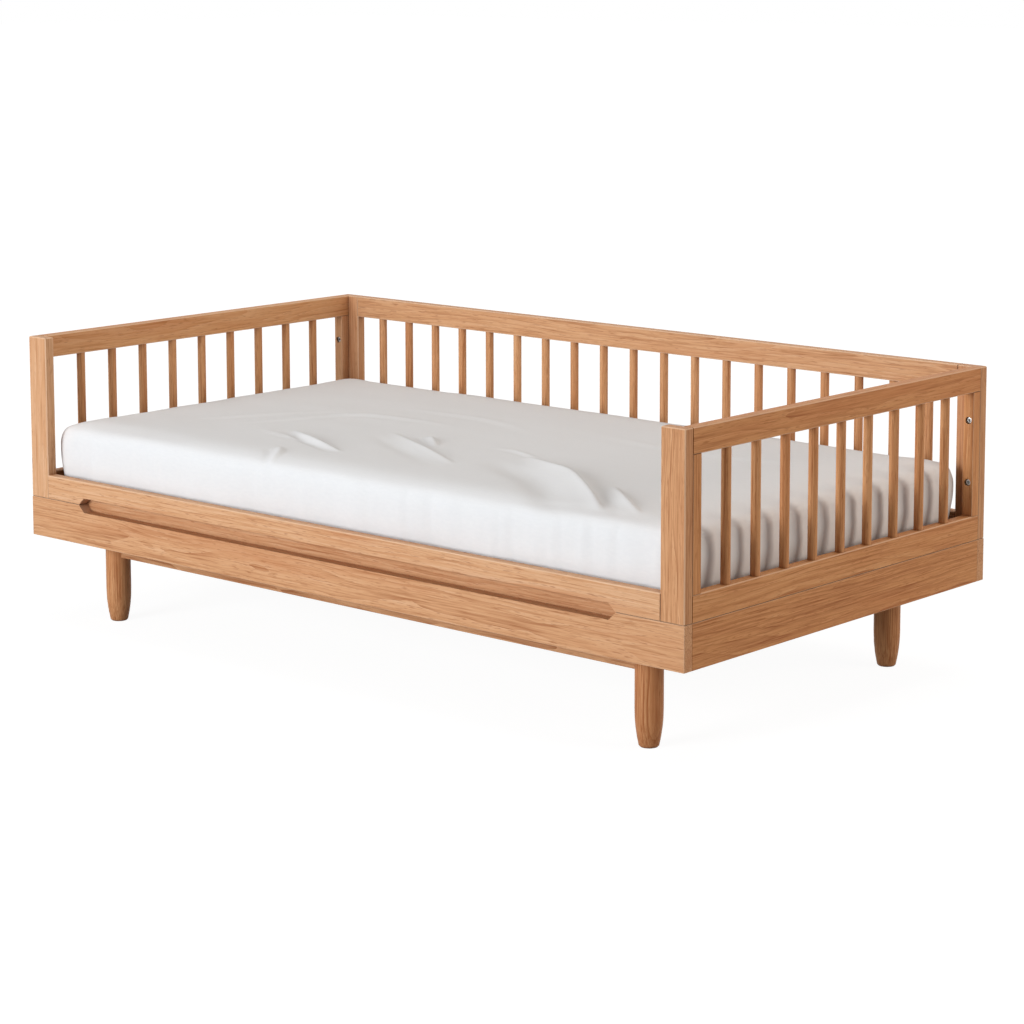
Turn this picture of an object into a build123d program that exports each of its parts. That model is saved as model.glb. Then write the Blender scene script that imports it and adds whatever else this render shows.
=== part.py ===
# Convertible crib in its day-bed form, with the front guard off.
# Millimetres, +Z up, front along -Y. The origin is on the floor, under the centre of the crib.
import os
from math import cos, floor, pi, sin, sqrt

from build123d import *

os.makedirs("parts", exist_ok=True)

# Overall sizes
crib_length = 1368
crib_width = 746
board = 18
leg_clearance = 140
plinth_height = 65
upper_frame_height = 267
edge_bevel = 1.5
joint_bevel = 0.6

# Posts, rails and stiles
post_width = 42
top_rail_height = 37
bottom_rail_height = 39
stile_width = 18
stile_tenon = 8
stile_tenon_length = 12

# Spindles, with a stub tenon at each end
spindle_diameter = 14
spindle_tenon = 8
spindle_tenon_length = 10
back_spindle_pitch = 65.15
side_spindle_pitch = 67.8
spindle_end_margin = 50

# Finger slot across the joint of the front rail and the plinth
slot_length = 1131
slot_half_height = 12
slot_end_run = 13
slot_backing_thickness = 6
slot_backing_overlap = 10

# Legs, the stretchers between them and the boards that carry them
leg_diameter = 41
leg_foot_diameter = 29
leg_foot_bevel = 2
leg_taper_height = 55
leg_inset_x = 122
leg_inset_y = 78.6
leg_tenon = 20
leg_tenon_length = 12
stretcher_height = 42.5
stretcher_tenon = 8
stretcher_tenon_height = 24
stretcher_tenon_length = 12
cross_board_width = 100

# Ledgers and glue blocks inside the plinth
ledger_width = 20
ledger_height = 20
corner_block_size = 38

# Loose tenons, let half into each of the two pieces they join
loose_tenon_thickness = 8
loose_tenon_width = 20
rail_tenon_length = 30
plinth_tenon_length = 18
side_tenon_inset = 90

# Connector bolts between the side panels and the posts
bolt_diameter = 10
bolt_clearance = 0.5
bolt_recess = 3
bolt_grip_in_post = 12
bolt_upper_drop = 80.5
bolt_lower_drop = 176.2

# Slatted base, which drops in on the ledgers
slat_width = 64
slat_thickness = 12
slat_gap = 40
slat_drop = 4
slat_side_clearance = 10
slat_end_clearance = 11
batten_width = 40
batten_height = 16
batten_clearance = 3

# Mattress: underside drawn in, fullest at mid height, rounded shoulder, low crown
mattress_end_gap = 11
mattress_side_gap = 11
mattress_thickness = 125
mattress_corner_radius = 20
mattress_draw_in = 14
mattress_full_height = 72
mattress_shoulder_run = 33
mattress_crown = 8
mattress_crown_run = 50
seat_clearance = 0.3

# Fitted sheet around the mattress
sheet_thickness = 1
sheet_ease = 0.2
sheet_hem_reach = 70

# Levels and lines that follow from the sizes
plinth_bottom = leg_clearance
frame_bottom = plinth_bottom + plinth_height
frame_top = frame_bottom + upper_frame_height
half_length = crib_length / 2
half_width = crib_width / 2
inner_half_length = half_length - board
inner_half_width = half_width - board
board_line_x = half_length - board / 2
board_line_y = half_width - board / 2
half_between_posts = half_length - post_width
slat_top = frame_bottom - slat_drop
ledger_top = slat_top - slat_thickness
ledger_bottom = ledger_top - ledger_height
leg_top = ledger_bottom - board
stretcher_bottom = leg_top - stretcher_height
leg_x = half_length - leg_inset_x
leg_y = half_width - leg_inset_y
slat_half = inner_half_width - slat_side_clearance
mattress_length = 2 * (inner_half_length - mattress_end_gap)
mattress_width = 2 * (inner_half_width - mattress_side_gap)
corners = {
    "front_left": (-1, -1),
    "front_right": (1, -1),
    "back_left": (-1, 1),
    "back_right": (1, 1),
}

parts = {}


def block(x_ends, y_ends, z_ends):
    """Square-edged block between pairs of limits, given in either order."""
    size = [abs(ends[1] - ends[0]) for ends in (x_ends, y_ends, z_ends)]
    centre = [(ends[0] + ends[1]) / 2 for ends in (x_ends, y_ends, z_ends)]
    return Pos(*centre) * Box(*size)


def around(middle, size):
    """Limits of a stretch that is centred on a line."""
    return (middle - size / 2, middle + size / 2)


def beveled(solid, size, axis=None):
    """Takes the arris off every edge, or only off those along one axis."""
    edges = solid.edges() if axis is None else solid.edges().filter_by(axis)
    return chamfer(edges, size)


def rod(start, direction, diameter, length):
    """Round bar from a point along a direction."""
    plane = Plane(origin=start, z_dir=direction)
    return plane * Cylinder(diameter / 2, length, align=(Align.CENTER, Align.CENTER, Align.MIN))


def cut_all(solid, tools):
    """Takes each tool out of a solid."""
    for tool in tools:
        solid = solid - tool
    return solid


def group(solids):
    """Separate solids kept in one node."""
    return Compound(children=list(solids))


# Finger slot: a long hexagon, cut half from the rail above and half from the board below
def slot_cutter():
    tip = slot_length / 2
    corner = tip - slot_end_run
    upper = [(-tip, 0), (-corner, slot_half_height), (corner, slot_half_height), (tip, 0)]
    lower = [(corner, -slot_half_height), (-corner, -slot_half_height)]
    face = Plane.XZ * make_face(Polyline(*upper, *lower, close=True))
    return Pos(0, -board_line_y, frame_bottom) * extrude(face, board, both=True)


# Loose tenons at the rails' ends, standing on edge in the middle of the board
def rail_tenons(y_line, z_line):
    thickness = around(y_line, loose_tenon_thickness)
    width = around(z_line, loose_tenon_width)
    ends = (-half_between_posts, half_between_posts)
    return [block(around(x, rail_tenon_length), thickness, width) for x in ends]


# Loose tenons that stand half in the plinth, under the posts and the side rails
def plinth_tenons():
    tenons = []
    height = around(frame_bottom, plinth_tenon_length)
    post_line = half_length - post_width / 2
    side_line = half_width - side_tenon_inset
    for side_x, side_y in corners.values():
        along_x = around(side_x * post_line, loose_tenon_width)
        tenons.append(block(along_x, around(side_y * board_line_y, loose_tenon_thickness), height))
        along_y = around(side_y * side_line, loose_tenon_width)
        tenons.append(block(around(side_x * board_line_x, loose_tenon_thickness), along_y, height))
    return tenons


# Plinth: front and back boards run full length, and the side boards stand between them
def plinth():
    tenons = plinth_tenons()
    height = (plinth_bottom, frame_bottom)
    for name, side in (("front", -1), ("back", 1)):
        depth = (side * half_width, side * inner_half_width)
        body = beveled(block((-half_length, half_length), depth, height), joint_bevel)
        if name == "front":
            body = body - slot_cutter()
        parts[f"base_{name}_board"] = cut_all(body, tenons)
    for name, side in (("left", -1), ("right", 1)):
        depth = (side * half_length, side * inner_half_length)
        body = block(depth, (-inner_half_width, inner_half_width), height)
        parts[f"base_{name}_board"] = cut_all(beveled(body, joint_bevel, Axis.Y), tenons)
    parts["plinth_tenons"] = group(tenons)


# Inside the plinth: glue blocks, ledgers, the strip behind the slot, and the cross boards
def plinth_inside():
    height = (ledger_bottom, ledger_top)
    block_x = inner_half_length - corner_block_size
    block_y = inner_half_width - corner_block_size
    blocks = []
    for side_x, side_y in corners.values():
        x_ends = (side_x * inner_half_length, side_x * block_x)
        y_ends = (side_y * inner_half_width, side_y * block_y)
        blocks.append(block(x_ends, y_ends, height))
    parts["corner_blocks"] = group(blocks)
    for name, side in (("front", -1), ("back", 1)):
        depth = (side * inner_half_width, side * (inner_half_width - ledger_width))
        parts[f"{name}_ledger"] = block((-block_x, block_x), depth, height)
    strip_half = slot_length / 2 + slot_backing_overlap
    strip_top = frame_bottom + slot_half_height + slot_backing_overlap
    strip_depth = (-inner_half_width, slot_backing_thickness - inner_half_width)
    parts["slot_backing_strip"] = block((-strip_half, strip_half), strip_depth, (ledger_top, strip_top))
    for name, side in (("left", -1), ("right", 1)):
        span = (-inner_half_width, inner_half_width)
        body = block(around(side * leg_x, cross_board_width), span, (leg_top, ledger_bottom))
        tenons = [Pos(side * leg_x, end * leg_y, 0) * leg_tenon_block() for end in (-1, 1)]
        parts[f"{name}_cross_board"] = cut_all(body, tenons)


# Legs: turned, straight above and rounding in to the foot, with a square stub tenon on top
def leg_tenon_block():
    return block(around(0, leg_tenon), around(0, leg_tenon), (leg_top, leg_top + leg_tenon_length))


def turned_leg():
    radius = leg_diameter / 2
    foot_radius = leg_foot_diameter / 2
    rim = (foot_radius, leg_foot_bevel)
    taper_top = (radius, leg_taper_height)
    sole_edge = (foot_radius - leg_foot_bevel, 0)
    taper = TangentArc(taper_top, rim, tangent=(0, -1))
    lower = Polyline((0, 0), sole_edge, rim)
    upper = Polyline(taper_top, (radius, leg_top), (0, leg_top), (0, 0))
    return revolve(Plane.XZ * make_face(lower + taper + upper), Axis.Z)


# Stretchers: hollowed at the ends to fit the round legs, with a stub tenon into each leg
def stretcher(side):
    y_line = side * leg_y
    depth = around(y_line, board)
    body = block((-leg_x, leg_x), depth, (stretcher_bottom, leg_top))
    body = beveled(body, joint_bevel, Axis.X)
    for end in (-1, 1):
        bottom = (end * leg_x, y_line, stretcher_bottom)
        body = body - rod(bottom, (0, 0, 1), leg_diameter, stretcher_height)
    shoulder = leg_x - sqrt((leg_diameter / 2) ** 2 - (stretcher_tenon / 2) ** 2)
    half = shoulder + stretcher_tenon_length
    tenon_height = around(leg_top - stretcher_height / 2, stretcher_tenon_height)
    return body + block((-half, half), around(y_line, stretcher_tenon), tenon_height)


def legs_and_stretchers():
    leg = turned_leg() + leg_tenon_block()
    legs = []
    for name, side in (("front", -1), ("back", 1)):
        bar = stretcher(side)
        for end in (-1, 1):
            legs.append(Pos(end * leg_x, side * leg_y, 0) * leg - bar)
        parts[f"{name}_stretcher"] = bar
    parts["legs"] = group(legs)


# Connector bolts: from the end stiles of each side panel into the posts
def bolt_rods(diameter, start, length):
    rods = []
    for side_x, side_y in corners.values():
        y = side_y * (inner_half_width - stile_width + start)
        for drop in (bolt_upper_drop, bolt_lower_drop):
            origin = (side_x * board_line_x, y, frame_top - drop)
            rods.append(rod(origin, (0, side_y, 0), diameter, length))
    return rods


def panel_bolts():
    return bolt_rods(bolt_diameter, bolt_recess, stile_width - bolt_recess + bolt_grip_in_post)


def stile_bores():
    return bolt_rods(bolt_diameter + 2 * bolt_clearance, 0, stile_width)


# A spindle is round, and its stub tenons are square
def spindle(x, low, high):
    middle = around(0, spindle_tenon)
    tenon_ends = (low - spindle_tenon_length, high + spindle_tenon_length)
    shaft = rod((x, 0, low), (0, 0, 1), spindle_diameter, high - low)
    return shaft + block(around(x, spindle_tenon), middle, tenon_ends)


def stile(x, low, high):
    shaft = beveled(block(around(x, stile_width), around(0, board), (low, high)), joint_bevel, Axis.Z)
    tenon_ends = (low - stile_tenon_length, high + stile_tenon_length)
    return shaft + block(around(x, stile_tenon), around(0, stile_tenon), tenon_ends)


# A gallery of spindles between two rails, built along X and standing on z = 0
def gallery(length, pitch, with_stiles):
    low = bottom_rail_height
    high = upper_frame_height - top_rail_height
    half = length / 2
    pieces = {}
    spindle_room = half - spindle_end_margin
    if with_stiles:
        spindle_room = spindle_room - stile_width
        stile_line = half - stile_width / 2
        pieces["front_stile"] = stile(-stile_line, low, high)
        pieces["back_stile"] = stile(stile_line, low, high)
    steps = floor(2 * spindle_room / pitch)
    spindles = [spindle((index - steps / 2) * pitch, low, high) for index in range(steps + 1)]
    seats = spindles + list(pieces.values())
    for name, height in (("bottom_rail", (0, low)), ("top_rail", (high, upper_frame_height))):
        rail = beveled(block((-half, half), around(0, board), height), edge_bevel, Axis.X)
        pieces[name] = cut_all(rail, seats)
    pieces["spindles"] = group(spindles)
    return pieces


def posts(tools):
    height = (frame_bottom, frame_top)
    for name, (side_x, side_y) in corners.items():
        x_ends = (side_x * half_length, side_x * half_between_posts)
        y_ends = (side_y * half_width, side_y * inner_half_width)
        parts[f"{name}_post"] = cut_all(beveled(block(x_ends, y_ends, height), edge_bevel), tools)


def upper_frame():
    low_line = frame_bottom + bottom_rail_height / 2
    top_line = frame_top - top_rail_height / 2
    end_tenons = rail_tenons(-board_line_y, low_line)
    end_tenons += rail_tenons(board_line_y, low_line)
    end_tenons += rail_tenons(board_line_y, top_line)
    parts["rail_tenons"] = group(end_tenons)
    standing = plinth_tenons()
    bolts = panel_bolts()
    parts["panel_bolts"] = group(bolts)
    posts(end_tenons + standing + bolts)
    # Front rail, under the open side
    span = (-half_between_posts, half_between_posts)
    height = (frame_bottom, frame_bottom + bottom_rail_height)
    rail = beveled(block(span, (-half_width, -inner_half_width), height), edge_bevel, Axis.X)
    parts["front_upper_rail"] = cut_all(rail - slot_cutter(), end_tenons)
    # Back gallery, between the back posts
    for name, solid in gallery(2 * half_between_posts, back_spindle_pitch, False).items():
        placed = Pos(0, board_line_y, frame_bottom) * solid
        parts[f"back_{name}"] = cut_all(placed, end_tenons) if "rail" in name else placed
    # Side galleries, between the front and back posts
    side_gallery = gallery(2 * inner_half_width, side_spindle_pitch, True)
    for side_name, side in (("left", -1), ("right", 1)):
        place = Pos(side * board_line_x, 0, frame_bottom) * Rot(0, 0, 90)
        for name, solid in side_gallery.items():
            placed = place * solid
            if name == "bottom_rail":
                placed = cut_all(placed, standing)
            if "stile" in name:
                placed = cut_all(placed, stile_bores())
            parts[f"{side_name}_{name}"] = placed


# Slatted base: slats on two flat battens
def slat_base():
    half_span = inner_half_length - slat_end_clearance
    room = 2 * half_span - slat_width
    steps = round(room / (slat_width + slat_gap))
    slats = []
    for index in range(steps + 1):
        x_ends = around((index / steps - 0.5) * room, slat_width)
        slats.append(block(x_ends, (-slat_half, slat_half), (ledger_top, slat_top)))
    parts["base_slats"] = group(slats)
    batten_half = inner_half_length - corner_block_size - batten_clearance
    batten_outer = inner_half_width - ledger_width - batten_clearance
    for name, side in (("front", -1), ("back", 1)):
        depth = (side * batten_outer, side * (batten_outer - batten_width))
        height = (ledger_top - batten_height, ledger_top)
        parts[f"slat_{name}_batten"] = block((-batten_half, batten_half), depth, height)


def cushion_levels():
    """Height above the underside and inset from the fullest line, from the bottom up."""
    shoulder_rise = mattress_thickness - mattress_crown - mattress_full_height
    levels = []
    for share in (0, 0.4, 1):
        levels.append((share * mattress_full_height, (1 - share) ** 2 * mattress_draw_in))
    for share in (0.5, 1):
        angle = share * pi / 2
        height = mattress_full_height + shoulder_rise * sin(angle)
        levels.append((height, mattress_shoulder_run * (1 - cos(angle))))
    levels.append((mattress_thickness, mattress_shoulder_run + mattress_crown_run))
    return levels


def cushion(bottom, grow):
    """The mattress form with every face moved out by the same amount."""
    sections = []
    for height, inset in cushion_levels():
        share = height / mattress_thickness
        level = bottom + height + grow * (2 * share - 1)
        length = mattress_length - 2 * inset + 2 * grow
        width = mattress_width - 2 * inset + 2 * grow
        outline = RectangleRounded(length, width, mattress_corner_radius)
        sections.append(Pos(0, 0, level) * outline)
    return loft(sections, ruled=True)


# Mattress and its fitted sheet, which is open below inside its hem
def mattress():
    sheet_grow = sheet_ease + sheet_thickness
    bottom = slat_top + seat_clearance + sheet_grow
    parts["mattress"] = cushion(bottom, 0)
    mouth_length = mattress_length - 2 * sheet_hem_reach
    mouth_width = mattress_width - 2 * sheet_hem_reach
    mouth_height = (bottom - 2 * sheet_grow, bottom)
    mouth = block(around(0, mouth_length), around(0, mouth_width), mouth_height)
    parts["fitted_sheet"] = cushion(bottom, sheet_grow) - cushion(bottom, sheet_ease) - mouth


plinth()
plinth_inside()
legs_and_stretchers()
upper_frame()
slat_base()
mattress()

for node, solid in parts.items():
    export_step(solid, f"parts/{node}.step")
print(len(parts), "nodes")
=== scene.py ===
import math

import bpy
import bmesh
import numpy as np
from mathutils import Euler, Matrix, Vector, noise


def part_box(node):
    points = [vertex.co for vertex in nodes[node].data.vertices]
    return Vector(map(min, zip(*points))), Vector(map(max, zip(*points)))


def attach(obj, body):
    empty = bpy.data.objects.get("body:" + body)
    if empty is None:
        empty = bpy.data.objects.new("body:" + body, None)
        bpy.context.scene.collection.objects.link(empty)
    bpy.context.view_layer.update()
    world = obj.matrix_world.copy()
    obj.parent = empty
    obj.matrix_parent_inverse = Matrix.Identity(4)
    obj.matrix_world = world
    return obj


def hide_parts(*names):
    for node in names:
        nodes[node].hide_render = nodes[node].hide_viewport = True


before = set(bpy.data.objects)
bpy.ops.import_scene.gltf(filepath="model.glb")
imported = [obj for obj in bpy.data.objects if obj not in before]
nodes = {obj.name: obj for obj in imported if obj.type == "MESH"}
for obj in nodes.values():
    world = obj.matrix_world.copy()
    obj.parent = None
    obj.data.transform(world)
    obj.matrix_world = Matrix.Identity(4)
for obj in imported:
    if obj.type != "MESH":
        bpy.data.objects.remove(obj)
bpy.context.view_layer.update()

print("frame loaded:", len(nodes), "nodes")


# small helpers for modelling
def deselectAll():
    if bpy.context.object and bpy.context.object.mode != "OBJECT":
        bpy.ops.object.mode_set(mode="OBJECT")
    bpy.ops.object.select_all(action="DESELECT")


def startPiece(name):
    piece = bpy.context.object
    piece.name = name
    piece.data.name = name
    bpy.ops.object.mode_set(mode="EDIT")
    return piece


def editMesh(piece):
    return bmesh.from_edit_mesh(piece.data)


def selectFaces(piece, wanted):
    bpy.ops.mesh.select_mode(type="FACE")
    bpy.ops.mesh.select_all(action="DESELECT")
    mesh = editMesh(piece)
    for face in mesh.faces:
        face.select_set(wanted(face))
    mesh.select_flush_mode()
    bmesh.update_edit_mesh(piece.data)


def selectEdges(piece, wanted):
    bpy.ops.mesh.select_mode(type="EDGE")
    bpy.ops.mesh.select_all(action="DESELECT")
    mesh = editMesh(piece)
    for edge in mesh.edges:
        edge.select_set(wanted(edge))
    mesh.select_flush_mode()
    bmesh.update_edit_mesh(piece.data)


def closePiece(piece):
    bpy.ops.mesh.select_all(action="SELECT")
    bpy.ops.mesh.normals_make_consistent(inside=False)
    bpy.ops.object.mode_set(mode="OBJECT")
    bpy.ops.object.transform_apply(location=True, rotation=True, scale=True)


def applyModifier(piece, kind, name, **settings):
    deselectAll()
    piece.select_set(True)
    bpy.context.view_layer.objects.active = piece
    modifier = piece.modifiers.new(name, kind)
    for key, value in settings.items():
        setattr(modifier, key, value)
    bpy.ops.object.modifier_apply(modifier=modifier.name)


def meshPoints(piece):
    points = np.zeros(len(piece.data.vertices) * 3, np.float32)
    piece.data.vertices.foreach_get("co", points)
    return points.reshape(-1, 3).astype(float)


def meshNormals(piece):
    normals = np.zeros(len(piece.data.vertices) * 3, np.float32)
    piece.data.vertices.foreach_get("normal", normals)
    return normals.reshape(-1, 3).astype(float)


def setPoints(piece, points):
    piece.data.vertices.foreach_set("co", points.astype(np.float32).ravel())
    piece.data.update()


# helpers for materials
def addNode(tree, kind, values=None, **settings):
    node = tree.nodes.new("ShaderNode" + kind)
    for key, value in settings.items():
        setattr(node, key, value)
    for key, value in (values or {}).items():
        if isinstance(value, bpy.types.NodeSocket):
            tree.links.new(value, node.inputs[key])
        else:
            node.inputs[key].default_value = value
    return node


def addMath(tree, operation, *values, clamp=False):
    node = addNode(tree, "Math", dict(enumerate(values)), operation=operation, use_clamp=clamp)
    return node.outputs[0]


def addVector(tree, operation, *values):
    node = addNode(tree, "VectorMath", dict(enumerate(values)), operation=operation)
    return node.outputs[0]


def addNoise(tree, vector, stretch, detail=2.0, roughness=0.5):
    place = addVector(tree, "MULTIPLY", vector, stretch)
    return addNode(tree, "TexNoise", {"Vector": place, "Scale": 1.0, "Detail": detail, "Roughness": roughness})


def addRange(tree, value, low, high, toLow=0.0, toHigh=1.0):
    node = addNode(tree, "MapRange", {"Value": value, "From Min": low, "From Max": high,
                                      "To Min": toLow, "To Max": toHigh})
    return node.outputs["Result"]


def addMix(tree, factor, first, second, blend="MIX"):
    node = tree.nodes.new("ShaderNodeMix")
    node.data_type = "RGBA"
    node.blend_type = blend
    for index, value in ((0, factor), (6, first), (7, second)):
        if isinstance(value, bpy.types.NodeSocket):
            tree.links.new(value, node.inputs[index])
        elif index:
            node.inputs[index].default_value = (*value, 1.0)
        else:
            node.inputs[index].default_value = value
    return node.outputs[2]


def newGroup(name, inputs, outputs):
    group = bpy.data.node_groups.new(name, "ShaderNodeTree")
    for socket, kind, value in inputs:
        made = group.interface.new_socket(socket, in_out="INPUT", socket_type="NodeSocket" + kind)
        if value is not None:
            made.default_value = value
    for socket, kind in outputs:
        group.interface.new_socket(socket, in_out="OUTPUT", socket_type="NodeSocket" + kind)
    return group, group.nodes.new("NodeGroupInput"), group.nodes.new("NodeGroupOutput")


def newMaterial(name):
    material = bpy.data.materials.new(name)
    material.use_nodes = True
    tree = material.node_tree
    tree.nodes.clear()
    shader = addNode(tree, "BsdfPrincipled")
    addNode(tree, "OutputMaterial", {"Surface": shader.outputs[0]})
    return material, tree, shader


# oak, with the grain along the first axis of the vector it is given
oak = {
    "rings": 290.0,  # per metre
    "light": (0.780, 0.500, 0.310),
    "middle": (0.640, 0.338, 0.170),
    "dark": (0.340, 0.124, 0.046),
    "red": (0.520, 0.205, 0.085),
    "wander": 0.014,  # how far the rings wander along a board, in metres
    "waver": 0.00175,
    "lateEdge": 3.0,  # how sharply a ring ends in its dark late wood
    "earlyEdge": 5.0,
    "ringShade": -0.28,
    "fibreShade": 0.82,
    "streakShade": -0.24,
    "broadShade": 0.30,
    "redShare": 0.5,
    "poreShare": 0.60,
}


def makeOakGroup():
    group, given, result = newGroup(
        "oakGrain",
        [("Vector", "Vector", None), ("Tone", "Float", 0.5), ("Figure", "Float", 1.0)],
        [("Color", "Color"), ("Roughness", "Float"), ("Height", "Float")],
    )
    place = given.outputs["Vector"]
    sway = addNoise(group, place, (1.7, 5.0, 5.0), detail=2.0).outputs["Color"]
    sway = addVector(group, "SUBTRACT", sway, (0.5, 0.5, 0.5))
    sway = addVector(group, "MULTIPLY", sway, (0.0, 2 * oak["wander"], 2 * oak["wander"]))
    waver = addNoise(group, place, (9.0, 45.0, 45.0), detail=2.0).outputs["Color"]
    waver = addVector(group, "SUBTRACT", waver, (0.5, 0.5, 0.5))
    waver = addVector(group, "MULTIPLY", waver, (0.0, 2 * oak["waver"], 2 * oak["waver"]))
    bent = addVector(group, "ADD", addVector(group, "ADD", place, sway), waver)
    across = addVector(group, "MULTIPLY", bent, (0.0, 1.0, 1.0))
    radius = addNode(group, "VectorMath", {0: across}, operation="LENGTH").outputs["Value"]
    ring = addMath(group, "FRACT", addMath(group, "MULTIPLY", radius, oak["rings"]))
    late = addMath(group, "POWER", ring, oak["lateEdge"])
    early = addMath(group, "POWER", addMath(group, "SUBTRACT", 1.0, ring), oak["earlyEdge"])
    figure = addMath(group, "SUBTRACT", late, addMath(group, "MULTIPLY", early, 0.5))
    figure = addMath(group, "MULTIPLY", addMath(group, "SUBTRACT", figure, 0.2), given.outputs["Figure"])
    breaks = addNoise(group, place, (14.0, 110.0, 110.0), detail=2.0).outputs[0]
    figure = addMath(group, "MULTIPLY", figure, addRange(group, breaks, 0.38, 0.60, 0.25, 1.0))
    fibre = addNoise(group, place, (12.0, 480.0, 480.0), detail=3.0, roughness=0.6).outputs[0]
    broad = addNoise(group, place, (1.3, 9.0, 9.0), detail=2.0).outputs[0]
    streaks = addNoise(group, bent, (6.0, 260.0, 260.0), detail=2.5, roughness=0.65).outputs[0]
    streaks = addRange(group, streaks, 0.50, 0.66)
    pores = addNoise(group, place, (60.0, 900.0, 900.0), detail=1.0).outputs[0]
    pores = addRange(group, pores, 0.58, 0.70)
    pores = addMath(group, "MULTIPLY", pores, addRange(group, ring, 0.85, 0.35))
    shade = addMath(group, "MULTIPLY_ADD", figure, oak["ringShade"], given.outputs["Tone"])
    shade = addMath(group, "MULTIPLY_ADD", addMath(group, "SUBTRACT", fibre, 0.5), oak["fibreShade"], shade)
    shade = addMath(group, "MULTIPLY_ADD", streaks, oak["streakShade"], shade)
    shade = addMath(group, "MULTIPLY_ADD", addMath(group, "SUBTRACT", broad, 0.5), oak["broadShade"], shade)
    ramp = addNode(group, "ValToRGB", {"Fac": shade})
    ramp.color_ramp.elements[0].color = (*oak["dark"], 1.0)
    ramp.color_ramp.elements[1].color = (*oak["light"], 1.0)
    ramp.color_ramp.elements.new(0.5).color = (*oak["middle"], 1.0)
    redness = addNoise(group, place, (2.2, 26.0, 26.0), detail=2.0).outputs[0]
    redness = addMath(group, "MULTIPLY", addRange(group, redness, 0.5, 0.75), oak["redShare"])
    colour = addMix(group, redness, ramp.outputs["Color"], oak["red"])
    colour = addMix(group, addMath(group, "MULTIPLY", pores, oak["poreShare"]), colour, oak["dark"])
    rough = addMath(group, "MULTIPLY_ADD", fibre, 0.16, 0.40)
    rough = addMath(group, "MULTIPLY_ADD", pores, 0.10, rough)
    height = addMath(group, "MULTIPLY_ADD", pores, -0.7, fibre)
    height = addMath(group, "MULTIPLY_ADD", late, 0.25, height)
    group.links.new(colour, result.inputs["Color"])
    group.links.new(rough, result.inputs["Roughness"])
    group.links.new(height, result.inputs["Height"])
    return group


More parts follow.
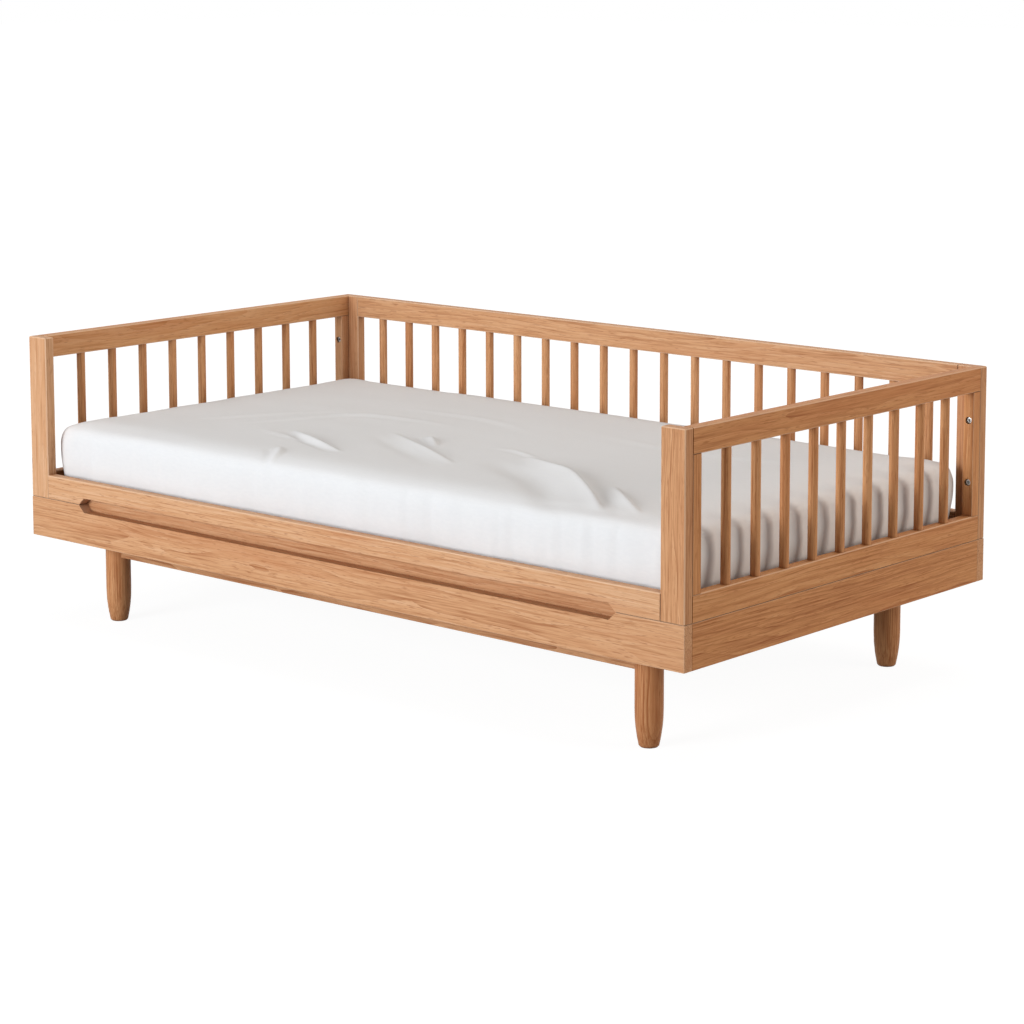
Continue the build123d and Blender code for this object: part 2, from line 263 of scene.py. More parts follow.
# how each board lies: the grain's direction, a tone, a warm tint of painted shade for pieces seen on their shaded
# side and where the tree's middle is from it;
# cells are the steps between repeated pieces, so that each has its own grain
grainTurn = {"X": (0.0, 0.0, 0.0), "Y": (0.0, 0.0, -math.pi / 2), "Z": (0.0, math.pi / 2, 0.0)}
boards = {
    "base_front_board": {"grain": "X", "tone": 0.52, "heart": (0.31, 0.055, 0.012)},
    "base_back_board": {"grain": "X", "tone": 0.50, "heart": (2.10, -0.060, -0.010)},
    "base_left_board": {"grain": "Y", "tone": 0.44, "heart": (3.30, 0.070, 0.016)},
    "base_right_board": {"grain": "Y", "tone": 0.42, "paintedShadeWarmth": 1.0, "heart": (4.10, -0.090, 0.050)},
    "front_upper_rail": {"grain": "X", "tone": 0.66, "heart": (5.20, 0.045, 0.018)},
    "slot_backing_strip": {"grain": "X", "tone": 0.50, "heart": (6.60, 0.050, -0.010)},
    "back_bottom_rail": {"grain": "X", "tone": 0.50, "heart": (7.70, 0.060, 0.020)},
    "back_top_rail": {"grain": "X", "tone": 0.53, "heart": (8.30, 0.055, -0.020)},
    "left_bottom_rail": {"grain": "Y", "tone": 0.46, "paintedShadeWarmth": 0.9, "heart": (9.90, 0.050, 0.014)},
    "left_top_rail": {"grain": "Y", "tone": 0.66, "paintedShadeWarmth": 0.7, "heart": (1.15, 0.060, -0.018)},
    "right_bottom_rail": {"grain": "Y", "tone": 0.50, "paintedShadeWarmth": 1.0, "heart": (2.65, 0.060, 0.020)},
    "right_top_rail": {"grain": "Y", "tone": 0.44, "paintedShadeWarmth": 1.0, "heart": (3.85, 0.065, -0.012)},
    "front_left_post": {"grain": "Z", "tone": 0.68, "heart": (4.45, 0.090, 0.030)},
    "front_right_post": {"grain": "Z", "tone": 0.46, "paintedShadeWarmth": 0.2, "heart": (5.75, 0.080, 0.026)},
    "back_left_post": {"grain": "Z", "tone": 0.52, "heart": (6.15, 0.070, -0.020)},
    "back_right_post": {"grain": "Z", "tone": 0.50, "heart": (7.35, 0.080, 0.020)},
    "left_front_stile": {"grain": "Z", "tone": 0.50, "heart": (8.95, 0.050, 0.020)},
    "left_back_stile": {"grain": "Z", "tone": 0.50, "heart": (9.45, 0.060, 0.010)},
    "right_front_stile": {"grain": "Z", "tone": 0.46, "paintedShadeWarmth": 1.0, "heart": (1.75, 0.050, 0.020)},
    "right_back_stile": {"grain": "Z", "tone": 0.50, "paintedShadeWarmth": 1.0, "heart": (2.35, 0.055, -0.015)},
    "front_stretcher": {"grain": "X", "tone": 0.40, "heart": (3.15, 0.060, 0.016)},
    "back_stretcher": {"grain": "X", "tone": 0.42, "heart": (4.65, 0.060, 0.012)},
    "back_spindles": {"grain": "Z", "tone": 0.48, "paintedShadeWarmth": 0.4,
        "heart": (0.0, 0.030, 0.030), "cells": (0.06515, 0.0, 0.0)},
    "left_spindles": {"grain": "Z", "tone": 0.48, "paintedShadeWarmth": 0.5,
        "heart": (0.4, 0.030, 0.030), "cells": (0.0, 0.0678, 0.0)},
    "right_spindles": {"grain": "Z", "tone": 0.46, "paintedShadeWarmth": 0.7,
        "heart": (0.8, 0.030, 0.030), "cells": (0.0, 0.0678, 0.0)},
    "legs": {"grain": "Z", "tone": 0.33, "paintedShadeWarmth": 0.5,
        "heart": (0.2, 0.060, 0.020), "cells": (1.124, 0.5888, 0.0)},
    "corner_blocks": {"grain": "Z", "tone": 0.60,
        "heart": (0.6, 0.050, 0.0), "cells": (1.2, 0.6, 0.0), "inner": True},
    "front_ledger": {"grain": "X", "tone": 0.62, "heart": (5.55, 0.050, 0.010), "inner": True},
    "back_ledger": {"grain": "X", "tone": 0.60, "heart": (6.85, 0.050, 0.010), "inner": True},
    "left_cross_board": {"grain": "Y", "tone": 0.58, "heart": (7.15, 0.020, 0.070), "inner": True},
    "right_cross_board": {"grain": "Y", "tone": 0.60, "heart": (8.55, -0.020, 0.070), "inner": True},
    "plinth_tenons": {"grain": "Z", "tone": 0.60, "heart": (1.35, 0.050, 0.0), "inner": True},
    "rail_tenons": {"grain": "X", "tone": 0.60, "heart": (2.95, 0.050, 0.0), "inner": True},
    "base_slats": {"grain": "Y", "tone": 0.62,
        "heart": (1.05, 0.010, 0.070), "cells": (0.10383, 0.0, 0.0), "inner": True},
    "slat_front_batten": {"grain": "X", "tone": 0.60, "heart": (3.55, 0.0, 0.060), "inner": True},
    "slat_back_batten": {"grain": "X", "tone": 0.62, "heart": (4.95, 0.010, 0.060), "inner": True},
}
woodFinish = {
    "specular": 0.12,
    "bumpStrength": 0.22,
    "bumpDistance": 0.0006,
    "paintedSeamShadeReach": 0.007,  # how near another face the painted seam shade reaches, in metres
    "paintedSeamShadeDark": 0.50,
    # painted shade: the wood darkens within this reach of other parts, as on rail tops beside the mattress
    "paintedShadeReach": 0.035,
    "paintedShadeDark": 0.34,
    "paintedShadeColour": (0.24, 0.085, 0.030),
    "paintedSeamShadeColour": (0.10, 0.035, 0.012),
    "innerPale": (0.80, 0.62, 0.44),
    "innerShare": 0.55,
    # painted shade: a warm darkening for the pieces seen on their shaded side
    "paintedShadeTint": (1.0, 0.88, 0.70),
    "toneSpread": 0.07,
    "cellShift": (5.0, 0.05, 0.05),
    # painted highlight on the eased edges
    "paintedEdgeHighlight": (0.90, 0.66, 0.46),
    "paintedEdgeHighlightShare": 0.45,
}


# 1 on the eased edges of a board, which lie between its own faces; these get a painted highlight
def paintedEdgeHighlightMask(tree):
    facing = addNode(tree, "NewGeometry").outputs["True Normal"]
    parts = addNode(tree, "SeparateXYZ", {0: addVector(tree, "ABSOLUTE", facing)})
    most = addMath(tree, "MAXIMUM", parts.outputs[0], parts.outputs[1])
    most = addMath(tree, "MAXIMUM", most, parts.outputs[2])
    return addRange(tree, most, 0.94, 0.88)


def makeWood(node, look, oakGroup):
    material, tree, shader = newMaterial("oak_" + node)
    low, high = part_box(node)
    turn = grainTurn[look["grain"]]
    middle = (low + high) / 2
    middle.rotate(Euler(turn))
    coordinate = addNode(tree, "TexCoord").outputs["Object"]
    place = addNode(tree, "Mapping", {"Vector": coordinate, "Rotation": turn,
                                      "Location": Vector(look["heart"]) - middle}).outputs[0]
    tone = look["tone"]
    if "cells" in look:
        start = (0.0, 0.0, 0.0) if node in ("legs", "corner_blocks") else tuple(x / 2 for x in look["cells"])
        cell = addVector(tree, "SNAP", addVector(tree, "ADD", coordinate, start), look["cells"])
        chance = addNode(tree, "TexWhiteNoise", {"Vector": cell}, noise_dimensions="3D")
        moved = addVector(tree, "MULTIPLY", chance.outputs["Color"], woodFinish["cellShift"])
        place = addVector(tree, "ADD", place, moved)
        spread = woodFinish["toneSpread"]
        tone = addRange(tree, chance.outputs["Value"], 0.0, 1.0, tone - spread, tone + spread)
    grain = addNode(tree, "Group", node_tree=oakGroup)
    tree.links.new(place, grain.inputs["Vector"])
    if isinstance(tone, bpy.types.NodeSocket):
        tree.links.new(tone, grain.inputs["Tone"])
    else:
        grain.inputs["Tone"].default_value = tone
    colour = grain.outputs["Color"]
    if look.get("inner"):
        colour = addMix(tree, woodFinish["innerShare"], colour, woodFinish["innerPale"])
    # painted shade: a warm darkening for the pieces seen on their shaded side
    if "paintedShadeWarmth" in look:
        colour = addMix(tree, look["paintedShadeWarmth"], colour, woodFinish["paintedShadeTint"], blend="MULTIPLY")
    # painted highlight: the eased edges are made paler
    if "cells" not in look and "stretcher" not in node:
        edges = addMath(tree, "MULTIPLY", paintedEdgeHighlightMask(tree), woodFinish["paintedEdgeHighlightShare"])
        colour = addMix(tree, edges, colour, woodFinish["paintedEdgeHighlight"])
    # painted shade: occlusion darkens the wood near other parts
    shadeOcclusion = addNode(tree, "AmbientOcclusion", {"Distance": woodFinish["paintedShadeReach"]}, samples=6)
    paintedShadeShare = addRange(tree, shadeOcclusion.outputs["AO"], 0.30, 0.90, woodFinish["paintedShadeDark"], 0.0)
    colour = addMix(tree, paintedShadeShare, colour, woodFinish["paintedShadeColour"])
    # painted shade: occlusion darkens seams and inner corners
    seamShadeOcclusion = addNode(tree, "AmbientOcclusion", {"Distance": woodFinish["paintedSeamShadeReach"]}, samples=6)
    paintedSeamShadeShare = addRange(tree, seamShadeOcclusion.outputs["AO"], 0.25, 0.85, woodFinish["paintedSeamShadeDark"], 0.0)
    colour = addMix(tree, paintedSeamShadeShare, colour, woodFinish["paintedSeamShadeColour"])
    tree.links.new(colour, shader.inputs["Base Color"])
    tree.links.new(grain.outputs["Roughness"], shader.inputs["Roughness"])
    shader.inputs["Specular IOR Level"].default_value = woodFinish["specular"]
    bump = addNode(tree, "Bump", {"Strength": woodFinish["bumpStrength"], "Distance": woodFinish["bumpDistance"],
                                  "Height": grain.outputs["Height"]})
    tree.links.new(bump.outputs[0], shader.inputs["Normal"])
    return material


oakGroup = makeOakGroup()
for node, look in boards.items():
    piece = nodes[node]
    piece.data.materials.clear()
    piece.data.materials.append(makeWood(node, look, oakGroup))
print("oak laid on", len(boards), "nodes")


# connector bolts, with a hexagon socket in the head, sunk in the stiles' bores
bolt = {
    "radius": 0.005,
    "length": 0.027,
    "headFace": 0.340,  # from the middle of the bed to the head's face
    "line": 0.675,
    "heights": (0.3915, 0.2958),
    "chamfer": 0.0007,
    "socketRim": 0.0021,
    "socketFlat": 0.0025,
    "socketDepth": 0.003,
    "sides": 48,
}


def makeBolts():
    deselectAll()
    bpy.ops.mesh.primitive_cylinder_add(vertices=bolt["sides"], radius=bolt["radius"], depth=bolt["length"],
                                        location=(0.0, 0.0, 0.0))
    piece = startPiece("panel_bolt_heads")
    top = bolt["length"] / 2
    selectEdges(piece, lambda e: all(v.co.z > top - 1e-5 for v in e.verts))
    bpy.ops.mesh.bevel(offset=bolt["chamfer"], segments=3)
    selectFaces(piece, lambda f: f.normal.z > 0.99 and f.calc_center_median().z > top - 1e-5)
    bpy.ops.mesh.inset(thickness=bolt["socketRim"] - bolt["chamfer"])
    mesh = editMesh(piece)
    for vertex in {v for f in mesh.faces if f.select for v in f.verts}:
        angle = math.atan2(vertex.co.y, vertex.co.x)
        flat = (angle % (math.pi / 3)) - math.pi / 6
        reach = bolt["socketFlat"] / math.cos(flat)
        vertex.co.x = reach * math.cos(angle)
        vertex.co.y = reach * math.sin(angle)
    bmesh.update_edit_mesh(piece.data)
    bpy.ops.mesh.extrude_region_move(TRANSFORM_OT_translate={"value": (0.0, 0.0, -bolt["socketDepth"])})
    closePiece(piece)
    copies = []
    for sideX in (-1, 1):
        for sideY in (-1, 1):
            for height in bolt["heights"]:
                copy = piece.copy()
                copy.data = piece.data.copy()
                bpy.context.scene.collection.objects.link(copy)
                turn = Matrix.Rotation(sideY * math.pi / 2, 4, "X")
                middle = bolt["headFace"] + bolt["length"] / 2
                shift = Matrix.Translation((sideX * bolt["line"], sideY * middle, height))
                copy.data.transform(shift @ turn)
                copies.append(copy)
    bpy.data.objects.remove(piece)
    deselectAll()
    for copy in copies:
        copy.select_set(True)
    bpy.context.view_layer.objects.active = copies[0]
    bpy.ops.object.join()
    joined = bpy.context.object
    joined.name = "panel_bolt_heads"
    bpy.ops.object.shade_smooth_by_angle(angle=math.radians(30))
    return joined


steel = {
    "dark": (0.55, 0.54, 0.52),
    "light": (0.78, 0.77, 0.75),
    # painted shade in the hex socket
    "socketShade": (0.03, 0.03, 0.03),
    "socketShadeReach": 0.004,
    "socketShadeShare": 0.9,
    "rough": (0.22, 0.38),
}


def makeSteel():
    material, tree, shader = newMaterial("bolt_steel")
    coordinate = addNode(tree, "TexCoord").outputs["Object"]
    spread = addNoise(tree, coordinate, (900.0, 900.0, 900.0), detail=3.0).outputs[0]
    colour = addMix(tree, spread, steel["dark"], steel["light"])
    # painted shade: occlusion darkens the hex socket
    socketShade = addNode(tree, "AmbientOcclusion", {"Distance": steel["socketShadeReach"]}, samples=8)
    share = addRange(tree, socketShade.outputs["AO"], 0.2, 0.8, steel["socketShadeShare"], 0.0)
    colour = addMix(tree, share, colour, steel["socketShade"])
    tree.links.new(colour, shader.inputs["Base Color"])
    tree.links.new(addRange(tree, spread, 0.3, 0.7, *steel["rough"]), shader.inputs["Roughness"])
    shader.inputs["Metallic"].default_value = 1.0
    return material


boltHeads = makeBolts()
boltHeads.data.materials.clear()
boltHeads.data.materials.append(makeSteel())
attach(boltHeads, "crib_frame")
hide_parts("panel_bolts")
print("bolts set")


# mattress form: underside drawn in, fullest at mid height, rounded shoulder, low crown
cushion = {
    "length": 1.310,
    "width": 0.688,
    "bottom": 0.2025,
    "height": 0.125,
    "corner": 0.018,
    "drawIn": 0.014,
    "fullAt": 0.098,
    "shoulder": 0.014,
    "arc": 72.0,  # degrees of the shoulder's curve, which ends in a crease
    "crown": 0.0050,
    "crownRun": 0.050,
}


def cushionLevels():
    levels = []
    for share in (0.0, 0.2, 0.4, 0.6, 0.8, 1.0):
        levels.append((share * cushion["fullAt"], (1 - share) ** 2 * cushion["drawIn"]))
    rise = cushion["height"] - cushion["crown"] - cushion["fullAt"]
    whole = math.radians(cushion["arc"])
    for share in (0.2, 0.4, 0.6, 0.8, 1.0):
        angle = share * whole
        inset = cushion["shoulder"] * (1 - math.cos(angle)) / (1 - math.cos(whole))
        levels.append((cushion["fullAt"] + rise * math.sin(angle) / math.sin(whole), inset))
    for share in (0.25, 0.5, 0.75, 1.0):
        level = cushion["height"] - cushion["crown"] * (1 - share) ** 2
        levels.append((level, cushion["shoulder"] + share * cushion["crownRun"]))
    return levels


def makeCushion(name, grow, voxel):
    deselectAll()
    levels = cushionLevels()
    bottom = cushion["bottom"] - grow
    bpy.ops.mesh.primitive_plane_add(size=1.0, location=(0.0, 0.0, 0.0))
    piece = startPiece(name)
    bpy.ops.mesh.select_all(action="SELECT")
    size = [cushion[side] + 2 * grow - 2 * levels[0][1] for side in ("length", "width")]
    bpy.ops.transform.resize(value=(size[0], size[1], 1.0))
    bpy.ops.transform.translate(value=(0.0, 0.0, bottom))
    bpy.ops.mesh.bevel(offset=cushion["corner"], segments=8, affect="VERTICES")
    selectFaces(piece, lambda f: True)
    height = bottom
    for rise, inset in levels[1:]:
        level = cushion["bottom"] + rise + grow * (2 * rise / cushion["height"] - 1)
        newSize = [cushion[side] + 2 * grow - 2 * inset for side in ("length", "width")]
        bpy.ops.mesh.extrude_region_move(TRANSFORM_OT_translate={"value": (0.0, 0.0, level - height)})
        bpy.ops.transform.resize(value=(newSize[0] / size[0], newSize[1] / size[1], 1.0),
                                 center_override=(0.0, 0.0, level))
        height, size = level, newSize
    closePiece(piece)
    piece.data.remesh_voxel_size = voxel
    bpy.ops.object.voxel_remesh()
    applyModifier(piece, "SMOOTH", "soften", factor=0.5, iterations=2)
    return piece


# the mattress itself, hidden but for what shows through the sheet's mouth
mattressPiece = makeCushion("mattress_body", -0.006, 0.014)
applyModifier(mattressPiece, "SUBSURF", "smoothing", levels=1, render_levels=1)
for polygon in mattressPiece.data.polygons:
    polygon.use_smooth = True
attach(mattressPiece, "bedding")
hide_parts("mattress")
print("mattress made")

# fitted sheet: the cushion form, puffed by a short cloth run, then the pulled wrinkles
sheetLook = {
    "grow": 0.0012,
    "voxel": 0.014,
    "hemReach": 0.070,
    "thickness": 0.0008,
    "fineFrom": 0.004,  # wrinkles this high get a finer mesh
    "fineMargin": 0.010,
    "topRipple": 0.0010,
    "sideFold": 0.0024,
    "flat": (1.078, 1.700),
    "area": 1.680,
}
# the run moves the sheet outwards only, and no further than its cap
clothRun = {
    "frames": 14,
    "quality": 6,
    "mass": 0.2,
    "tension": 20,
    "compression": 6,
    "bending": 0.3,
    "pressure": 1.2,
    "shrink": -0.012,
    "underside": 0.004,
    "cap": 0.002,
}
# crest from start to end, height, how far the front slope runs and how sharply the back falls, in metres
wrinkles = [
    {"line": [(-0.290, -0.150), (-0.245, -0.176), (-0.160, -0.214), (-0.095, -0.240)],
     "height": 0.0075, "front": 0.013, "back": 0.006},
    {"line": [(-0.340, -0.165), (-0.307, -0.186), (-0.183, -0.212)], "height": 0.0018, "front": 0.010, "back": 0.008},
    {"line": [(-0.085, -0.050), (-0.050, -0.078), (-0.015, -0.110)], "height": 0.0062, "front": 0.015, "back": 0.007},
    {"line": [(-0.150, -0.066), (-0.060, -0.115), (0.020, -0.155), (0.105, -0.202)],
     "height": 0.0058, "front": 0.030, "back": 0.010},
    {"line": [(0.060, -0.055), (0.110, -0.060), (0.175, -0.082)], "height": 0.0020, "front": 0.010, "back": 0.009},
    {"line": [(0.155, -0.085), (0.245, -0.136), (0.305, -0.164), (0.375, -0.217), (0.435, -0.265), (0.490, -0.314)],
     "height": 0.0150, "front": 0.052, "back": 0.007},
    {"line": [(0.400, -0.180), (0.470, -0.240), (0.550, -0.304)], "height": 0.0065, "front": 0.022, "back": 0.008},
    {"line": [(-0.200, -0.270), (-0.165, -0.305), (-0.150, -0.345)], "height": 0.0045, "front": 0.015, "back": 0.010},
    {"line": [(-0.420, -0.190), (-0.370, -0.080), (-0.323, 0.019), (-0.220, 0.045), (-0.118, 0.041)],
     "height": 0.0022, "front": 0.014, "back": 0.018},
    {"line": [(-0.500, -0.200), (-0.430, -0.060), (-0.374, 0.029)], "height": 0.0020, "front": 0.014, "back": 0.018},
    {"line": [(-0.300, 0.120), (-0.130, 0.130), (0.020, 0.080)], "height": 0.0014, "front": 0.016, "back": 0.020},
    {"line": [(0.100, 0.140), (0.300, 0.110), (0.500, 0.140)], "height": 0.0014, "front": 0.018, "back": 0.022},
]


# a smooth line through the points, eight steps to a span
def smoothLine(points):
    line = [Vector(point) for point in points]
    line = [2 * line[0] - line[1], *line, 2 * line[-1] - line[-2]]
    curve = []
    for before, start, end, after in zip(line, line[1:], line[2:], line[3:]):
        for step in range(8):
            share = step / 8
            curve.append(start + 0.5 * share * (end - before + share * (
                2 * before - 5 * start + 4 * end - after + share * (3 * (start - end) + after - before))))
    curve.append(line[-2])
    return np.array([tuple(point) for point in curve])


# where each point lies along a wrinkle, and how far to its side
def wrinklePlace(points, wrinkle):
    line = smoothLine(wrinkle["line"])
    steps = np.diff(line, axis=0)
    lengths = np.linalg.norm(steps, axis=1)
    total = lengths.sum()
    nearest = np.full(len(points), 1e9)
    along = np.zeros(len(points))
    side = np.zeros(len(points))
    passed = 0.0
    for start, step, length in zip(line[:-1], steps, lengths):
        to = points[:, :2] - start
        share = np.clip((to @ step) / length ** 2, 0, 1)
        away = to - share[:, None] * step
        distance = np.linalg.norm(away, axis=1)
        facing = step[0] * to[:, 1] - step[1] * to[:, 0]
        closer = distance < nearest
        nearest[closer] = distance[closer]
        side[closer] = np.sign(facing[closer]) * distance[closer]
        along[closer] = (passed + share[closer] * length) / total
        passed += length
    return side, along


# how wide a wrinkle stays at its ends, and the trough before its front slope, in shares of that slope
wrinkleForm = {"endWidth": 0.35, "frontCurve": 2.0, "troughAt": 1.15, "troughReach": 0.7, "troughDepth": 0.30}


# a crest with a long front slope, a short back and a shallow trough before it
def wrinkleHeight(points, wrinkle):
    side, along = wrinklePlace(points, wrinkle)
    endWidth = wrinkleForm["endWidth"]
    taper = np.sin(np.pi * np.clip(along, 0, 1)) ** 0.8
    front = np.clip(1 + side / (wrinkle["front"] * (endWidth + (1 - endWidth) * taper)), 0, 1)
    back = np.clip(1 - side / wrinkle["back"], 0, 1)
    shape = np.where(side < 0, front ** wrinkleForm["frontCurve"], back ** 2 * (3 - 2 * back))
    trough = np.abs(side / wrinkle["front"] + wrinkleForm["troughAt"]) / wrinkleForm["troughReach"]
    trough = np.clip(1 - trough, 0, 1)
    shape = shape - wrinkleForm["troughDepth"] * trough ** 2 * (3 - 2 * trough)
    return wrinkle["height"] * taper * shape


def smoothNoise(points, stretch, seed):
    scale = Vector(stretch)
    shift = Vector((seed * 3.7, seed * 1.9, seed * 5.3))
    return np.array([noise.noise(Vector(p) * scale + shift) for p in points])


def puffSheet(piece):
    rest = meshPoints(piece)
    normals = meshNormals(piece)
    pinned = piece.vertex_groups.new(name="under")
    under = [i for i, p in enumerate(rest) if p[2] < cushion["bottom"] + clothRun["underside"]]
    pinned.add(under, 1.0, "REPLACE")
    modifier = piece.modifiers.new("cloth", "CLOTH")
    settings = modifier.settings
    settings.quality = clothRun["quality"]
    settings.mass = clothRun["mass"]
    settings.tension_stiffness = clothRun["tension"]
    settings.compression_stiffness = clothRun["compression"]
    settings.bending_stiffness = clothRun["bending"]
    settings.use_pressure = True
    settings.uniform_pressure_force = clothRun["pressure"]
    settings.vertex_group_mass = "under"
    settings.shrink_min = clothRun["shrink"]
    settings.effector_weights.gravity = 0
    modifier.point_cache.frame_start = 1
    modifier.point_cache.frame_end = clothRun["frames"]
    scene = bpy.context.scene
    for step in range(1, clothRun["frames"] + 1):
        scene.frame_set(step)
    deselectAll()
    piece.select_set(True)
    bpy.context.view_layer.objects.active = piece
    bpy.ops.object.modifier_apply(modifier="cloth")
    scene.frame_set(1)
    outward = ((meshPoints(piece) - rest) * normals).sum(axis=1)
    setPoints(piece, rest + normals * np.clip(outward, 0, clothRun["cap"])[:, None])
    piece.vertex_groups.clear()


# the mesh is halved again where a wrinkle is high
def refineSheet(piece):
    centres = np.zeros(len(piece.data.polygons) * 3, np.float32)
    piece.data.polygons.foreach_get("center", centres)
    centres = centres.reshape(-1, 3).astype(float)
    near = np.zeros(len(centres), bool)
    for wrinkle in wrinkles:
        if wrinkle["height"] >= sheetLook["fineFrom"]:
            side = wrinklePlace(centres, wrinkle)[0]
            near |= np.abs(side) < wrinkle["front"] + sheetLook["fineMargin"]
    near &= centres[:, 2] > cushion["bottom"] + cushion["fullAt"]
    bpy.ops.object.mode_set(mode="EDIT")
    selectFaces(piece, lambda f: bool(near[f.index]))
    bpy.ops.mesh.subdivide(number_cuts=1)
    bpy.ops.object.mode_set(mode="OBJECT")


def makeSheet():
    piece = makeCushion("fitted_sheet_cloth", sheetLook["grow"], sheetLook["voxel"])
    puffSheet(piece)
    mouthX = cushion["length"] / 2 - sheetLook["hemReach"]
    mouthY = cushion["width"] / 2 - sheetLook["hemReach"]
    deselectAll()
    piece.select_set(True)
    bpy.context.view_layer.objects.active = piece
    bpy.ops.object.mode_set(mode="EDIT")
    selectFaces(piece, lambda f: f.normal.z < -0.9 and abs(f.calc_center_median().x) < mouthX
                and abs(f.calc_center_median().y) < mouthY)
    bpy.ops.mesh.delete(type="FACE")
    bpy.ops.object.mode_set(mode="OBJECT")
    applyModifier(piece, "SUBSURF", "smoothing", levels=1, render_levels=1)
    refineSheet(piece)
    points = meshPoints(piece)
    normals = meshNormals(piece)
    upward = np.clip((normals[:, 2] - 0.35) / 0.5, 0, 1)
    lift = np.zeros(len(points))
    top = upward > 0
    for wrinkle in wrinkles:
        lift[top] += wrinkleHeight(points[top], wrinkle)
    lift *= upward
    lift += sheetLook["topRipple"] * upward * smoothNoise(points, (7.0, 16.0, 5.0), 1)
    sideways = 1 - upward
    sideways *= (normals[:, 2] > -0.5)
    folds = smoothNoise(points, (26.0, 26.0, 4.0), 2) + 0.7 * smoothNoise(points, (60.0, 60.0, 6.0), 3)
    lift += sheetLook["sideFold"] * sideways * folds
    points += normals * lift[:, None]
    setPoints(piece, points)
    applyModifier(piece, "SOLIDIFY", "cloth thickness", thickness=sheetLook["thickness"], offset=-1.0)
    for polygon in piece.data.polygons:
        polygon.use_smooth = True
    return piece


sheetPiece = makeSheet()
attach(sheetPiece, "bedding")
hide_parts("fitted_sheet")
print("sheet made:", len(sheetPiece.data.polygons), "faces")


# cloth finishes
def makeWeaveGroup():
    group, given, result = newGroup(
        "plainWeave",
        [("Vector", "Vector", None), ("Threads", "Float", 1500.0)],
        [("Height", "Float"), ("Shade", "Float")],
    )
    parts = addNode(group, "SeparateXYZ", {0: given.outputs["Vector"]})
    threads = given.outputs["Threads"]
    waves = []
    for axis in range(3):
        turned = addMath(group, "MULTIPLY", parts.outputs[axis], threads)
        waves.append(addMath(group, "SINE", turned))
    crossing = addMath(group, "MULTIPLY", waves[0], waves[1])
    height = addMath(group, "MULTIPLY_ADD", waves[2], 0.5, crossing)
    slubs = addNoise(group, given.outputs["Vector"], (90.0, 700.0, 240.0), detail=2.0).outputs[0]
    height = addMath(group, "MULTIPLY_ADD", slubs, 1.5, height)
    group.links.new(height, result.inputs["Height"])
    group.links.new(slubs, result.inputs["Shade"])
    return group


cloths = {
    "white_cotton": {"pale": (0.83, 0.83, 0.83), "shaded": (0.775, 0.778, 0.785), "threads": 5200.0,
                     "sheen": 0.10, "rough": 0.72},
    "mattress_cover": {"pale": (0.86, 0.85, 0.82), "shaded": (0.78, 0.77, 0.74), "threads": 2600.0,
                       "sheen": 0.15, "rough": 0.80},
}
clothFinish = {"bumpStrength": 0.12, "bumpDistance": 0.0003, "specular": 0.15, "sheenRough": 0.5, "roughSpread": 0.1}


def makeCloth(name):
    look = cloths[name]
    material, tree, shader = newMaterial(name)
    coordinate = addNode(tree, "TexCoord").outputs["Object"]
    weave = addNode(tree, "Group", node_tree=weaveGroup)
    tree.links.new(coordinate, weave.inputs["Vector"])
    weave.inputs["Threads"].default_value = look["threads"]
    shade = weave.outputs["Shade"]
    tree.links.new(addMix(tree, shade, look["shaded"], look["pale"]), shader.inputs["Base Color"])
    rough = addRange(tree, shade, 0.0, 1.0, look["rough"], look["rough"] + clothFinish["roughSpread"])
    tree.links.new(rough, shader.inputs["Roughness"])
    bump = addNode(tree, "Bump", {"Strength": clothFinish["bumpStrength"], "Distance": clothFinish["bumpDistance"],
                                  "Height": weave.outputs["Height"]})
    tree.links.new(bump.outputs[0], shader.inputs["Normal"])
    shader.inputs["Specular IOR Level"].default_value = clothFinish["specular"]
    shader.inputs["Sheen Weight"].default_value = look["sheen"]
    shader.inputs["Sheen Roughness"].default_value = clothFinish["sheenRough"]
    return material


weaveGroup = makeWeaveGroup()
for piece, name in ((sheetPiece, "white_cotton"), (mattressPiece, "mattress_cover")):
    piece.data.materials.clear()
    piece.data.materials.append(makeCloth(name))
print("cloth finished")

# floor and backdrop
deselectAll()
bpy.ops.mesh.primitive_plane_add(size=60.0, location=(0.0, 0.0, 0.0))
floor = bpy.context.object
floor.name = "studio_floor"
studio = {
    "nearGlow": 0.94,
    "farGlow": 1.0,
    "near": 0.9,
    "far": 2.2,
    "floorShade": 0.14,
    "floorBounce": 0.45,
    "worldLight": 0.20,
}
plainWhite = (1.0, 1.0, 1.0, 1.0)


# 1 on the rays that see the backdrop itself: camera, reflections and transmission
def seenMask(tree):
    rays = addNode(tree, "LightPath")
    mask = addMath(tree, "MAXIMUM", rays.outputs["Is Camera Ray"], rays.outputs["Is Glossy Ray"])
    return addMath(tree, "MAXIMUM", mask, rays.outputs["Is Transmission Ray"])


floorMaterial = bpy.data.materials.new("studio_floor")
floorMaterial.use_nodes = True
tree = floorMaterial.node_tree
tree.nodes.clear()
mask = seenMask(tree)
reach = addNode(tree, "VectorMath", {0: addNode(tree, "TexCoord").outputs["Object"]}, operation="LENGTH")
strength = addRange(tree, reach.outputs["Value"], studio["near"], studio["far"],
                    studio["nearGlow"], studio["farGlow"])
glow = addNode(tree, "Emission", {"Color": plainWhite, "Strength": strength})
shade = addNode(tree, "BsdfDiffuse", {"Color": (studio["floorShade"],) * 3 + (1.0,)})
bounce = addNode(tree, "BsdfDiffuse", {"Color": (studio["floorBounce"],) * 3 + (1.0,)})
seen = addNode(tree, "AddShader", {0: glow.outputs[0], 1: shade.outputs[0]})
mixed = addNode(tree, "MixShader", {0: mask, 1: bounce.outputs[0], 2: seen.outputs[0]})
addNode(tree, "OutputMaterial", {"Surface": mixed.outputs[0]})
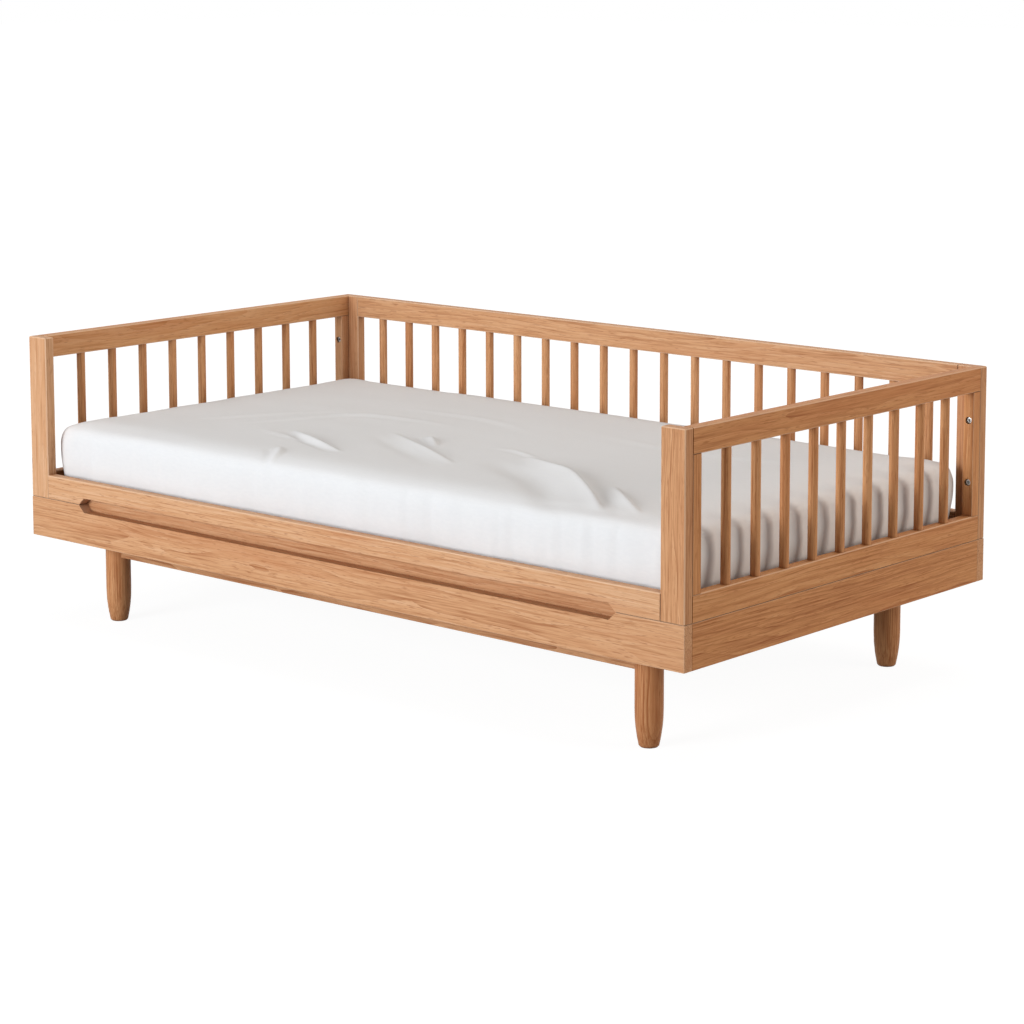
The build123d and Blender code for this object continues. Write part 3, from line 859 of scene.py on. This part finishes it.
floor.data.materials.append(floorMaterial)

world = bpy.data.worlds.new("studio")
world.use_nodes = True
bpy.context.scene.world = world
tree = world.node_tree
tree.nodes.clear()
mask = seenMask(tree)
plain = addNode(tree, "Background", {"Color": plainWhite, "Strength": studio["worldLight"]})
backdrop = addNode(tree, "Background", {"Color": plainWhite, "Strength": 1.0})
mixed = addNode(tree, "MixShader", {0: mask, 1: plain.outputs[0], 2: backdrop.outputs[0]})
addNode(tree, "OutputWorld", {"Surface": mixed.outputs[0]})

# lamps, aimed at the middle of the bed
lampsAim = (0.0, 0.0, 0.28)
lamps = {
    "key": {"place": (-0.8, -4.9, 1.3), "size": 2.2, "power": 208.0, "colour": (0.943, 0.969, 1.0)},
    "side": {"place": (4.6, 2.3, 1.4), "size": 3.2, "power": 108.0, "colour": (1.0, 0.90, 0.80)},
    "top": {"place": (0.2, 0.6, 4.0), "size": 3.0, "power": 57.0, "colour": (1.0, 0.94, 0.88)},
}
for name, lamp in lamps.items():
    data = bpy.data.lights.new(name, "AREA")
    data.shape = "SQUARE"
    data.size = lamp["size"]
    data.energy = lamp["power"]
    data.color = lamp["colour"]
    light = bpy.data.objects.new(name, data)
    bpy.context.scene.collection.objects.link(light)
    light.location = lamp["place"]
    toBed = Vector(lampsAim) - Vector(lamp["place"])
    light.rotation_euler = toBed.to_track_quat("-Z", "Y").to_euler()

# camera, solved from the photo's straight edges
cameraLook = {
    "place": (2.9193, -3.24997, 1.10361),
    "turn": 41.5577,
    "down": 7.3342,
    "roll": -0.1003,
    "focal": 2786.064,  # in pixels of a 1024 picture
    "middle": (507.127, 306.991),
    "picture": 1024.0,
    "sensor": 36.0,
}
cameraData = bpy.data.cameras.new("camera")
cameraObject = bpy.data.objects.new("camera", cameraData)
bpy.context.scene.collection.objects.link(cameraObject)
bpy.context.scene.camera = cameraObject
cameraObject.location = cameraLook["place"]
turn = Matrix.Rotation(math.radians(cameraLook["turn"]), 4, "Z")
tilt = Matrix.Rotation(math.radians(90 - cameraLook["down"]), 4, "X")
roll = Matrix.Rotation(math.radians(cameraLook["roll"]), 4, "Z")
cameraObject.rotation_euler = (turn @ tilt @ roll).to_euler()
cameraData.sensor_width = cameraLook["sensor"]
cameraData.lens = cameraLook["focal"] / cameraLook["picture"] * cameraLook["sensor"]
cameraData.shift_x = (cameraLook["picture"] / 2 - cameraLook["middle"][0]) / cameraLook["picture"]
cameraData.shift_y = (cameraLook["middle"][1] - cameraLook["picture"] / 2) / cameraLook["picture"]
cameraData.clip_start = 0.1
cameraData.clip_end = 100.0

bpy.context.scene.view_settings.view_transform = "Standard"
print("studio ready")
